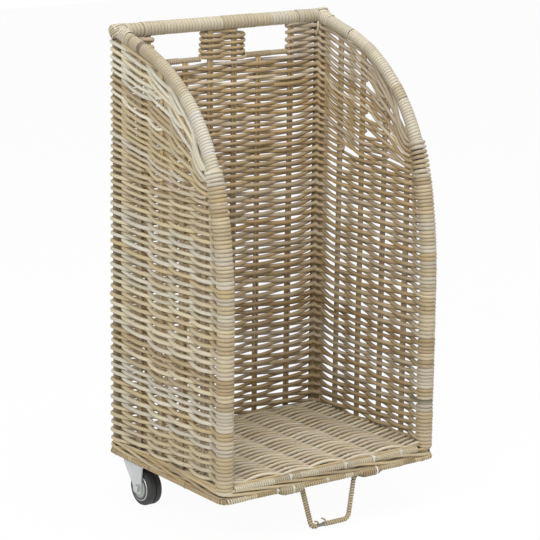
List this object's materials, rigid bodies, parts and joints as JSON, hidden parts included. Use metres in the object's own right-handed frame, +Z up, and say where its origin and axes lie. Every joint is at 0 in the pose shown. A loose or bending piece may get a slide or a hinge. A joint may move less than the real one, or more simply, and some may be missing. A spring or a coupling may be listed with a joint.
{
  "type": "wicker log carrier",
  "caption": "Tall open-fronted wicker log basket on a tube frame, with curved sides, hand holes in the back, swivel castors behind and a wire stand in front.",
  "frame": {"origin": "on the ground, under the middle of the basket", "axes": "+X to the right seen from the open front, +Y to the back panel, +Z up"},
  "size_m": [0.45, 0.34, 0.8225],
  "materials": {
    "frame_steel": "matt grey paint",
    "woven_rattan": "unvarnished grey rattan",
    "stake_cane": "unvarnished grey rattan",
    "binding_cane": "pale split cane",
    "base_rods": "unvarnished grey rattan",
    "zinc_steel": "bright zinc plate",
    "wheel_plastic": "moulded grey plastic",
    "tyre_rubber": "matt black rubber",
    "stand_wire": "bare grey wire"
  },
  "bodies": {
    "basket": {"base_left_tube": "frame_steel", "base_right_tube": "frame_steel", "base_front_tube": "frame_steel", "base_back_tube": "frame_steel", "left_hoop_tube": "frame_steel", "right_hoop_tube": "frame_steel", "left_back_post": "frame_steel", "right_back_post": "frame_steel", "top_rail_tube": "frame_steel", "gusset_left": "frame_steel", "gusset_right": "frame_steel", "left_front_post_wrap": "woven_rattan", "right_front_post_wrap": "woven_rattan", "left_back_corner_weave": "woven_rattan", "right_back_corner_weave": "woven_rattan", "left_weave": "woven_rattan", "right_weave": "woven_rattan", "back_weave": "woven_rattan", "floor_weave": "woven_rattan", "left_stakes": "stake_cane", "right_stakes": "stake_cane", "back_stakes": "stake_cane", "floor_stakes": "stake_cane", "left_rim_wrap": "binding_cane", "right_rim_wrap": "binding_cane", "top_rail_wrap": "binding_cane", "corner_bindings": "binding_cane", "hand_hole_sills": "binding_cane", "floor_rim": "binding_cane", "base_rail_left": "binding_cane", "base_rail_right": "binding_cane", "base_rail_front": "binding_cane", "base_rail_back": "binding_cane", "wale_left": "base_rods", "wale_right": "base_rods", "wale_front": "base_rods", "wale_back": "base_rods", "stand_wire": "stand_wire", "stand_wrap": "binding_cane", "stand_bindings": "binding_cane", "castor_left_head": "zinc_steel", "castor_right_head": "zinc_steel", "castor_left_kingpin": "zinc_steel", "castor_right_kingpin": "zinc_steel", "kingpin_nuts": "zinc_steel"},
    "castor_fork_left": {"castor_left_fork": "zinc_steel", "castor_left_ring": "zinc_steel", "castor_left_axle_bolt": "zinc_steel", "castor_left_axle_nut": "zinc_steel", "castor_left_thread_guards": "wheel_plastic"},
    "wheel_left": {"castor_left_wheel_core": "wheel_plastic", "castor_left_tyre": "tyre_rubber"},
    "castor_fork_right": {"castor_right_fork": "zinc_steel", "castor_right_ring": "zinc_steel", "castor_right_axle_bolt": "zinc_steel", "castor_right_axle_nut": "zinc_steel", "castor_right_thread_guards": "wheel_plastic"},
    "wheel_right": {"castor_right_wheel_core": "wheel_plastic", "castor_right_tyre": "tyre_rubber"}
  },
  "joints": [
    {"name": "castor_swivel_left", "type": "hinge", "parent": "basket", "child": "castor_fork_left", "pos_m": [-0.1865, 0.1315, 0.071], "axis": [0, 0, 1], "continuous": true},
    {"name": "wheel_spin_left", "type": "hinge", "parent": "castor_fork_left", "child": "wheel_left", "pos_m": [-0.1865, 0.1075, 0.0315], "axis": [1, 0, 0], "continuous": true},
    {"name": "castor_swivel_right", "type": "hinge", "parent": "basket", "child": "castor_fork_right", "pos_m": [0.1865, 0.1315, 0.071], "axis": [0, 0, 1], "continuous": true},
    {"name": "wheel_spin_right", "type": "hinge", "parent": "castor_fork_right", "child": "wheel_right", "pos_m": [0.1865, 0.1075, 0.0315], "axis": [1, 0, 0], "continuous": true}
  ]
}
